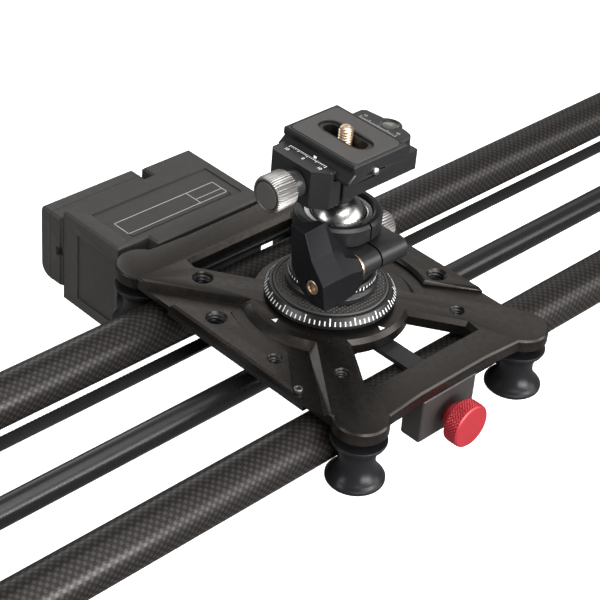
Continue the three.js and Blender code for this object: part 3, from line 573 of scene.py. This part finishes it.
def make_drive():
    x, z, r = PULLEY
    y0, y1 = BELT["y"] - 3.7, BELT["y"] + 3.7
    teeth = straight_ridges(15, 0.7)
    stub = [(0, 33.6), (1.7, 33.6), (2, 33.9), (2, y0 - 0.9), (6.2, y0 - 0.9), (6.2, y0)]
    shaft = [(6.2, y1), (6.2, y1 + 0.9), (3.9, y1 + 0.9), (3.9, y1 + 4), (2, y1 + 4), (2, 82.6), (1.7, 83),
             (0, 83)]
    turned("drive_pulley_toothed", stub + rows(r, y0, y1, 3) + shaft, "pulley", "steel", ("drive_pulley",),
           axis="Y", at=lifted(x, 0, z), segments=120, ridge=teeth, fillet=0.12)
    for node, body, side in (("idler_left", "idler_a", -1), ("idler_right", "idler_b", 1)):
        tube = [(1.5, y0), (3.0, y0), (3.2, y0 + 0.2), (3.2, y1 - 0.2), (3.0, y1), (2.2, y1), (2.0, y1 - 0.4),
                (1.7, y1 - 0.4), (1.5, y1 - 0.2)]
        at = lifted(x + side * IDLER[0], 0, IDLER[1])
        turned(f"{node}_bearing", tube, body, "steel", (node,), axis="Y", at=at, segments=64,
               fillet=0.06, closed=True)
    refined("drive_bracket", "carriage", "black", 0.4)
    bm = bmesh.new()
    for sx in (x - 11, x + 11):
        for y in (62, 86):
            cap_screw(bm, sx, y, AXIS_Z - 32.4, 2.2, 1.4, up=-1)
    settle(finished("drive_screws", bm, 35), "carriage", "steel")


# ---- carriage ----

def make_plate():
    refined("carriage_plate", "carriage", "plate", 0.3, 2, 24)
    refined("under_frame", "carriage", "black", 0.35)
    bm = bmesh.new()
    quarter_inch = ((-36, -44, 0), (36, -44, 0), (-50.5, -18.5, 0.9), (50.5, 18.5, 0.9))
    three_eighths = ((-36, 44, 0), (36, 44, 0), (-50.5, 18.5, 0.9), (50.5, -18.5, 0.9))
    for holes, root, crest, pitch in ((quarter_inch, 2.88, 2.35, 1.27), (three_eighths, 4.28, 3.65, 1.59)):
        for x, y, drop in holes:
            helix(bm, root, crest, pitch, AXIS_Z + 14.3, AXIS_Z + PLATE_TOP - drop - 0.1, at=(x, y, 0))
    settle(finished("plate_threads", bm, 30), "carriage", "black")

    bm = bmesh.new()
    for centre in (Vector((-32.2, 0.6)), Vector((-0.3, -31.7))):
        radial = centre.normalized()
        side = Vector((-radial.y, radial.x)) * 1.4
        tail = centre + radial * 1.35
        outline = [centre - radial * 1.35, tail + side, tail - side]
        levels = (AXIS_Z + PLATE_TOP - 0.02, AXIS_Z + PLATE_TOP + 0.05)
        prism(bm, *([(p.x, p.y, z) for p in outline] for z in levels))
    settle(finished("index_marks", bm, 30), "carriage", "paint")
    bm = bmesh.new()
    cap_screw(bm, -56.2, -38.6, AXIS_Z + 19.4, 2.0, 1.8)
    settle(finished("plate_set_screw", bm, 30), "carriage", "silver")


def make_rollers():
    reach = EAR[1] - RAIL_Y - 0.3
    groove = [(reach - math.sqrt(RAIL_R ** 2 - z ** 2), z) for z in [-8 + 0.8 * i for i in range(21)]]
    for corner, (sx, sy) in CORNERS.items():
        at = lifted(sx * EAR[0], sy * EAR[1])
        roller = f"roller_{corner}"
        skirt = [(2.6, -11.4), (5.8, -11.4), (6.2, -10.9), (10.6, -10.9), (11, -11.4), (12.2, -11.4),
                 (12.7, -10.8), (12.7, -9.6), (12.2, -9.2)]
        crown = [(11.8, 8.9), (12, 9.3), (12, 9.9), (11.7, 10.2), (2.6, 10.2)]
        turned(f"{roller}_turned", skirt + groove + crown, roller, "acetal", (roller,), at=at, segments=112,
               fillet=0.12, closed=True)
        bolt = [(0, -13.1), (1.9, -13.1), (1.9, -13.4), (3.9, -13.4), (4.2, -13.1), (4.2, -11.7),
                (2.5, -11.7), (2.5, 10.5), (5.5, 10.5), (5.5, 13.9), (0, 13.9)]
        turned(f"roller_axle_{corner}_turned", bolt, "carriage", "black", (f"roller_axle_{corner}",), at=at,
               segments=64, fillet=0.15)


def make_brake():
    refined("brake_block", "carriage", "block", 0.9, 3)
    at = lifted(BRAKE_X)
    tip = [(0, -73), (3.0, -73), (3.1, -72.6), (3.1, -62.4), (2.4, -61.4), (0, -61.4)]
    turned("brake_shoe_tip", tip, "brake_shoe", "rubber", ("brake_pad",), axis="Y", at=at, segments=40,
           fillet=0.2)
    face = [(0, -87), (9.4, -87), (10.1, -86.4)]
    rim = rows(10.5, -85.9, -80.5, 0.22)
    neck = [(10.1, -80), (9.6, -79.6), (6.4, -79.6), (6.4, -76.4), (4.8, -74.3), (2.7, -74.3), (2.7, -73.3),
            (0, -73.3)]
    turned("brake_knob_knurled", face + rim + neck, "brake_screw", "red", ("brake_knob",), axis="Y", at=at,
           segments=288, ridge=diamond_ridges(40, 0.6, 1.5), fillet=0, smooth_deg=28)


# ---- motor box ----

def frame_lines(bm, x0, x1, y0, y1, z, width):
    """Four flat bars round a rectangle."""
    bars = (
        ((x0, y0), (x1, y0 + width)),
        ((x0, y1 - width), (x1, y1)),
        ((x0, y0), (x0 + width, y1)),
        ((x1 - width, y0), (x1, y1)),
    )
    for low, high in bars:
        brick(bm, (*low, z - 0.02), (*high, z + 0.04))


def make_motor():
    refined("motor_housing", "carriage", "case", 0.45, 3)
    refined("motor_bracket", "carriage", "black", 0.5, 3)

    recess = AXIS_Z + 20.4
    bm = bmesh.new()
    frame_lines(bm, -39.6, 21.2, 88.4, 102.2, recess, 0.32)
    frame_lines(bm, -39.6, 21.2, 88.4, 91.6, recess, 0.32)
    brick(bm, (4.2, 91.6, recess - 0.02), (4.5, 102.2, recess + 0.04))
    brick(bm, (4.2, 95.0, recess - 0.02), (21.2, 95.3, recess + 0.04))
    settle(finished("label_frame", bm, 30), "carriage", "faint")

    bm = bmesh.new()
    for x in (-25, 25):
        for y in (60, 70):
            cap_screw(bm, x, y, AXIS_Z + 10.0, 2.2, 1.3, up=-1)
    settle(finished("bracket_screws", bm, 35), "carriage", "steel")

    button = [(0, 31.2), (4.9, 31.2), (5, 31.4), (5, 32.8), (4.5, 33.2), (3.4, 33.2), (2.9, 32.9), (0, 32.8)]
    turned("power_button_cap", button, "button", "gloss", ("power_button",), axis="X", at=lifted(0, 105, 4),
           segments=64, fillet=0.15)


def make_battery():
    refined("battery", "battery", "case", 0.5, 3)
    refined("battery_latch", "latch", "gloss", 0.35)
    bm = bmesh.new()
    near, far = 131.7, 132.0
    brick(bm, (-52.9, near, AXIS_Z + 17.15), (0.9, far, AXIS_Z + 17.22))
    brick(bm, (-52.9, near, AXIS_Z - 21.52), (0.9, far, AXIS_Z - 21.45))
    brick(bm, (-53.53, near, AXIS_Z - 20.9), (-53.4, far, AXIS_Z + 16.6))
    settle(finished("battery_seam", bm, 30), "battery", "dark")
    bm = bmesh.new()
    for i in range(6):
        x = 6.8 + i * 1.1
        brick(bm, (x, 133.7, AXIS_Z - 4), (x + 0.6, 133.8, AXIS_Z + 6))
    settle(finished("latch_ribs", bm, 30), "latch", "gloss")


# ---- turntable and ball head ----

def make_turntable():
    ring = [(0, 10), (5.2, 10), (5.7, 10.5), (5.7, 21.1), (27, 21.1), (27, 22.2), (29, 22.2), (29.2, 22.4),
            (29.2, 23.9), (27.1, 27.1), (26.8, 27.2), (25.9, 27.2), (25.9, 26.6), (4.7, 26.6), (4.7, 33.2),
            (4.3, 33.5), (0, 33.5)]
    turned("turntable_dial", ring, "turntable", "black", ("turntable_ring",), at=lifted(), segments=192,
           fillet=0.12)

    low, high = Vector((29.2, 23.9)), Vector((27.1, 27.1))
    lean = math.atan2(high.y - low.y, low.x - high.x)
    slant = Matrix.Rotation(lean - math.pi / 2, 3, "Y")
    ticks, wide = 80, 0.5
    bm = bmesh.new()
    for i in range(ticks):
        a = TAU * i / ticks
        reach = (high - low).length * (0.88 if i % 5 == 0 else 0.52)
        spin = Matrix.Rotation(a, 3, "Z")
        start = len(bm.verts)
        brick(bm, (-0.02, -wide / 2, 0.1), (0.05, wide / 2, 0.1 + reach))
        bm.verts.ensure_lookup_table()
        for v in bm.verts[start:]:
            v.co = spin @ (slant @ v.co + Vector((low.x, 0, low.y + AXIS_Z)))
    settle(finished("dial_ticks", bm, 30), "turntable", "paint")


def pyramid(bm, x, y, z):
    """One blunt stud of the grip surface."""
    square = ((-1, -1), (1, -1), (1, 1), (-1, 1))
    foot, peak = ([(x + sx * half, y + sy * half, z + rise) for sx, sy in square] for half, rise in
                  ((0.75, -0.02), (0.16, 0.42)))
    prism(bm, foot, peak)


def make_grip():
    base = 27.45
    pad = [(5.1, 26.9), (25.5, 26.9), (25.5, 27.6), (25.2, 27.9), (24.6, 27.9), (24.4, base), (5.1, base)]
    turned("grip_disc", pad, "turntable", "pad", ("turntable_grip",), at=lifted(), segments=128, fillet=0.08,
           closed=True)
    bm = bmesh.new()
    cell = 1.7
    inner, outer = 18.4, 23.8
    span = int(25 / cell)
    for i in range(-span, span + 1):
        for j in range(-span, span + 1):
            x, y = i * cell, j * cell
            if inner < math.hypot(x, y) < outer:
                pyramid(bm, x, y, AXIS_Z + base)
    settle(finished("grip_pyramids", bm, 20), "turntable", "pad")


def make_head():
    base = [(5.0, 28.2), (19.6, 28.2), (20.5, 28.9), (20.5, 31.3), (19.5, 32.3), (19.4, 32.5), (19.4, 35.3),
            (18.7, 36.2), (5.0, 36.2)]
    turned("head_base_turned", base, "turntable", "black", ("head_base",), at=lifted(), segments=128,
           fillet=0.2, closed=True)
    bm = bmesh.new()
    ticks, high = 60, AXIS_Z + 35.2
    for i in range(ticks):
        tall = 1.9 if i % 5 == 0 else 1.2
        spin = Matrix.Rotation(TAU * i / ticks, 3, "Z")
        brick(bm, (19.38, -0.24, high - tall), (19.46, 0.24, high), spin)
    settle(finished("pan_ticks", bm, 30), "turntable", "paint")

    refined("head_body", "head", "black", 0.4, 3)
    bm = bmesh.new()
    facing = Matrix.Rotation(math.radians(PAN_MARK_DEG), 3, "Z")
    brick(bm, (18.6, -2.4, AXIS_Z + 31.9), (19.75, 2.4, AXIS_Z + 33.1), facing)
    settle(finished("pan_index", bm, 30), "turntable", "silver")


def make_ball():
    seat = [(13.34, 60.4), (15.1, 60.4), (15.1, 64.7), (14.6, 65.2), (13.0, 65.2), (12.5, 64.9),
            (12.95, 63.2)]
    turned("seat_ring_polished", seat, "head", "steel", ("ball_seat_ring",), at=lifted(), segments=128,
           fillet=0.1, closed=True)
    arc = [(BALL_R * math.sin(t), BALL_Z - BALL_R * math.cos(t)) for t in
           [math.pi * i / 64 for i in range(65)]]
    arc[0], arc[-1] = (0, BALL_Z - BALL_R), (0, BALL_Z + BALL_R)
    turned("ball_polished", arc, "ball", "ball", ("ball",), at=lifted(), segments=128, fillet=0)


def make_pan_lock():
    knurl = straight_ridges(36, 0.5)
    screw = [(0, 12.5), (2, 12.5), (2, 18.6), (4, 18.6), (4, 24), (6.2, 24.2)]
    face = [(6.2, 32.3), (5.6, 32.5), (4.8, 32.5), (4.6, 32.2), (0, 32.2)]
    turned("pan_knob_knurled", screw + rows(6.8, 24.8, 31.6, 6.8) + face, "pan_lock", "silver", ("pan_knob",),
           axis="X", at=lifted(0, 0, PAN_KNOB_Z), segments=216, ridge=knurl, fillet=0)


def make_lever():
    refined("lock_lever", "lever", "cast", 0.55, 3, 18)
    at = lifted(0, *LEVER_AXIS)
    screw = [(2.0, -34.2), (2.0, -35.5), (2.2, -35.8), (3.1, -35.8), (3.4, -35.5), (3.4, -33.3), (2.5, -33.3),
             (2.5, 13.3), (0, 13.3)]
    bm = revolve(bmesh.new(), screw, "X", at, 48, fillet=0.1)
    revolve(bm, [(2.0, -34.6), (1.9, -34.9), (1.9, -34.2), (0, -34.2)], "X", at, 6, fillet=0)
    settle(finished("lever_screw_hex", bm, 35), "lever", "champagne", ("lever_screw",))
    ring = [(5.3, -11.2), (5.8, -11.1), (5.8, -10.2), (5.3, -10.1)]
    turned("lever_washer", ring, "head", "champagne", axis="X", at=at, segments=72, fillet=0.05,
           closed=True)


# ---- quick-release clamp ----

SCALE_Y = 2.2
SCALE_STEP = 1.05
NUMBER_INSET = 0.92  # draws the end numbers in from the last ticks


def scale_marks(bm, x, z, toward):
    """A ruler along Y, ten divisions each way, whose ticks start at x and point along toward."""
    for i in range(-10, 11):
        size = 1.7 if i % 5 == 0 else 1.05
        edges = sorted((x, x + toward * size))
        y = SCALE_Y + i * SCALE_STEP
        brick(bm, (edges[0], y - 0.13, z - 0.02), (edges[1], y + 0.13, z + 0.04))


def make_clamp():
    refined("clamp_body", "clamp", "black", 0.35, 2, 24)
    refined("clamp_jaw", "jaw", "black", 0.35, 2, 24)
    top = AXIS_Z + CLAMP_TOP
    facing = Matrix.Rotation(math.radians(-90), 3, "Z")
    bm = bmesh.new()
    scale_marks(bm, -18.7, top, -1)
    for step, digits in ((10, "10"), (0, "0"), (-10, "10")):
        lettering(bm, digits, 2.3, (-22.3, SCALE_Y + step * SCALE_STEP * NUMBER_INSET, top), facing)
    settle(finished("jaw_scale", bm, 30), "jaw", "paint")
    bm = bmesh.new()
    scale_marks(bm, 21.4, top, 1)
    for step in (-10, 10):
        lettering(bm, "10", 2.0, (24.6, SCALE_Y + step * SCALE_STEP * NUMBER_INSET, top), facing)
    settle(finished("body_scale", bm, 30), "clamp", "faint")

    at = lifted(VIAL_X)
    vial = [(0, 94.8), (3.9, 94.8), (3.9, 96.8), (3.2, 97.15), (1.8, 97.28), (0, 97.3)]
    turned("vial_dome", vial, "clamp", "vial", ("bubble_level",), at=at, segments=64, fillet=0.1)
    turned("vial_rim", [(3.4, 96.9), (4.25, 96.9), (4.25, 97.4), (3.9, 97.5), (3.4, 97.3)], "clamp", "gloss",
           at=at, segments=64, fillet=0.05, closed=True)
    bubble = [(0, 97.24), (1.3, 97.2), (1.55, 97.28), (1.3, 97.36), (0, 97.4)]
    turned("vial_bubble", bubble, "clamp", "bubble", at=lifted(VIAL_X + 0.4, 0.5), segments=40, fillet=0.05)

    knurl = straight_ridges(48, 0.62)
    at = lifted(0, 0, SCREW_Z)
    face = [(0, -43.1), (6.3, -43.1), (6.4, -44.1), (6.7, -44.4), (7.4, -44.3)]
    screw = [(7.8, -33.7), (7.4, -33.4), (5.6, -33.4), (5.6, -27.4), (2.5, -27.4), (2.5, 7.4), (2.0, 8),
             (0, 8)]
    turned("clamp_knob_knurled", face + rows(8.2, -43.2, -34.4, 8.8) + screw, "clamp_screw", "silver",
           ("clamp_knob",), axis="X", at=at, segments=312, ridge=knurl, fillet=0)
    washer = [(5.65, -33.2), (6.0, -33.2), (6.2, -32.9), (6.2, -28), (6.0, -27.5), (5.65, -27.5)]
    turned("clamp_thrust_washer", washer, "clamp_screw", "gloss", axis="X", at=at, segments=72, fillet=0.2,
           closed=True)
    cap = [(0, -44.4), (5.4, -44.55), (6.0, -44.4), (6.1, -44), (6.1, -43.3), (0, -43.3)]
    turned("knob_cap_moulded", cap, "clamp_screw", "pad", ("knob_cap",), axis="X", at=at, segments=72,
           fillet=0.15)


def make_quick_plate():
    refined("qr_plate", "quick_plate", "black", 0.5, 3, 28)
    refined("qr_pad", "quick_plate", "pad", 0.25, 2)
    top = AXIS_Z + QUICK_PLATE_TOP
    bm = bmesh.new()
    for x in (-5.6, 5.3):
        brick(bm, (x, -9.6, top - 0.05), (x + 0.3, 9.6, top + 0.02))
    settle(finished("pad_slot_lines", bm, 30), "quick_plate", "dark")
    bm = bmesh.new()
    mark = [(-17.3, 0.9), (-17.3, -0.9), (-18.2, 0)]
    levels = (AXIS_Z + CLAMP_TOP - 0.3, AXIS_Z + CLAMP_TOP + 0.4)
    prism(bm, *([(x, y, z) for x, y in mark] for z in levels))
    settle(finished("qr_index", bm, 30), "quick_plate", "paint")

    screw = [(0, 93.2), (7.1, 93.2), (7.4, 93.5), (7.4, 95.1), (7.1, 95.4), (2.6, 95.4), (2.6, 105.6),
             (1.9, 106.2), (1.0, 106.2), (0, 105.8)]
    bm = revolve(bmesh.new(), screw, at=lifted(), segments=64, fillet=0.1)
    helix(bm, 2.55, 3.15, 1.27, AXIS_Z + 95.6, AXIS_Z + 106.1, steps=36)
    settle(finished("camera_screw_threaded", bm, 32), "camera_screw", "champagne", ("camera_screw",))
    pin = [(0, -22.4), (0.9, -22.3), (1.6, -21.9), (1.9, -21.2), (1.9, -17), (0, -17)]
    turned("stop_pin_turned", pin, "quick_plate", "steel", ("stop_pin",), axis="Y", at=lifted(-2.8, 0, 95.6),
           segments=40, fillet=0.15)


# ---- studio ----

def make_camera():
    azimuth, elevation, roll = (math.radians(d) for d in (-46.812, 34.106, 5.117))
    back = Vector((math.sin(azimuth) * math.cos(elevation), -math.cos(azimuth) * math.cos(elevation),
                   math.sin(elevation)))
    flat = Vector((math.cos(azimuth), math.sin(azimuth), 0))
    rise = back.cross(flat)
    right = flat * math.cos(roll) + rise * math.sin(roll)
    up = rise * math.cos(roll) - flat * math.sin(roll)
    data = bpy.data.cameras.new("camera")
    data.lens = 106.9
    data.sensor_width = 36
    data.shift_x = -0.0037
    data.shift_y = -0.0595
    camera = bpy.data.objects.new("camera", data)
    turn = Matrix((right, up, back)).transposed().to_4x4()
    camera.matrix_world = Matrix.Translation(Vector((-480.1, -432.5, 547.6)) * MM) @ turn
    scene.collection.objects.link(camera)
    scene.camera = camera


def soft_light(name, place, size, watts):
    """A rectangular lamp aimed at the middle of the slider."""
    data = bpy.data.lights.new(name, "AREA")
    data.shape = "RECTANGLE"
    data.size, data.size_y = size
    data.energy = watts
    lamp = bpy.data.objects.new(name, data)
    lamp.location = place
    aim = Vector((0, 0, 0.12)) - Vector(place)
    lamp.rotation_euler = aim.to_track_quat("-Z", "Y").to_euler()
    scene.collection.objects.link(lamp)


def make_studio():
    floor = bpy.data.meshes.new("floor")
    reach = 6.0
    corners = [(-reach, -reach, 0), (reach, -reach, 0), (reach, reach, 0), (-reach, reach, 0)]
    floor.from_pydata(corners, [], [(0, 1, 2, 3)])
    sweep = bpy.data.objects.new("floor", floor)
    paper = surfaced("floor_paper", (0.9, 0.9, 0.9), 0.0, 0.85, grain=3, depth=0.02, spread=0.01,
                     Emission_Color=(1, 1, 1, 1), Emission_Strength=0.62)
    floor.materials.append(paper)
    scene.collection.objects.link(sweep)
    sweep.location.z = -0.0002
    sweep.visible_glossy = False
    soft_light("overhead", (0.0, -0.5, 2.1), (2.2, 1.8), 40)
    soft_light("front_right", (1.0, -1.35, 0.75), (1.4, 0.8), 18)
    soft_light("left", (-1.7, 0.5, 0.9), (1.0, 0.8), 15)
    soft_light("front", (0.1, -1.6, 0.45), (1.2, 0.6), 46)
    soft_light("front_high", (-0.1, -0.98, 1.38), (1.0, 0.6), 9)
    soft_light("back_high", (1.3, 1.25, 1.35), (1.8, 1.2), 4.5)
    soft_light("back", (0.6, 1.8, 0.8), (1.8, 0.6), 8)
    world = bpy.data.worlds.new("studio")
    world.use_nodes = True
    background = world.node_tree.nodes["Background"]
    background.inputs["Color"].default_value = (1, 1, 1, 1)
    background.inputs["Strength"].default_value = 0.22
    scene.world = world
    scene.view_settings.view_transform = "Standard"


make_camera()
make_rails()
make_ends()
make_feet()
make_belt()
make_drive()
make_plate()
make_rollers()
make_brake()
make_motor()
make_battery()
make_turntable()
make_grip()
make_head()
make_ball()
make_pan_lock()
make_lever()
make_clamp()
make_quick_plate()
make_studio()
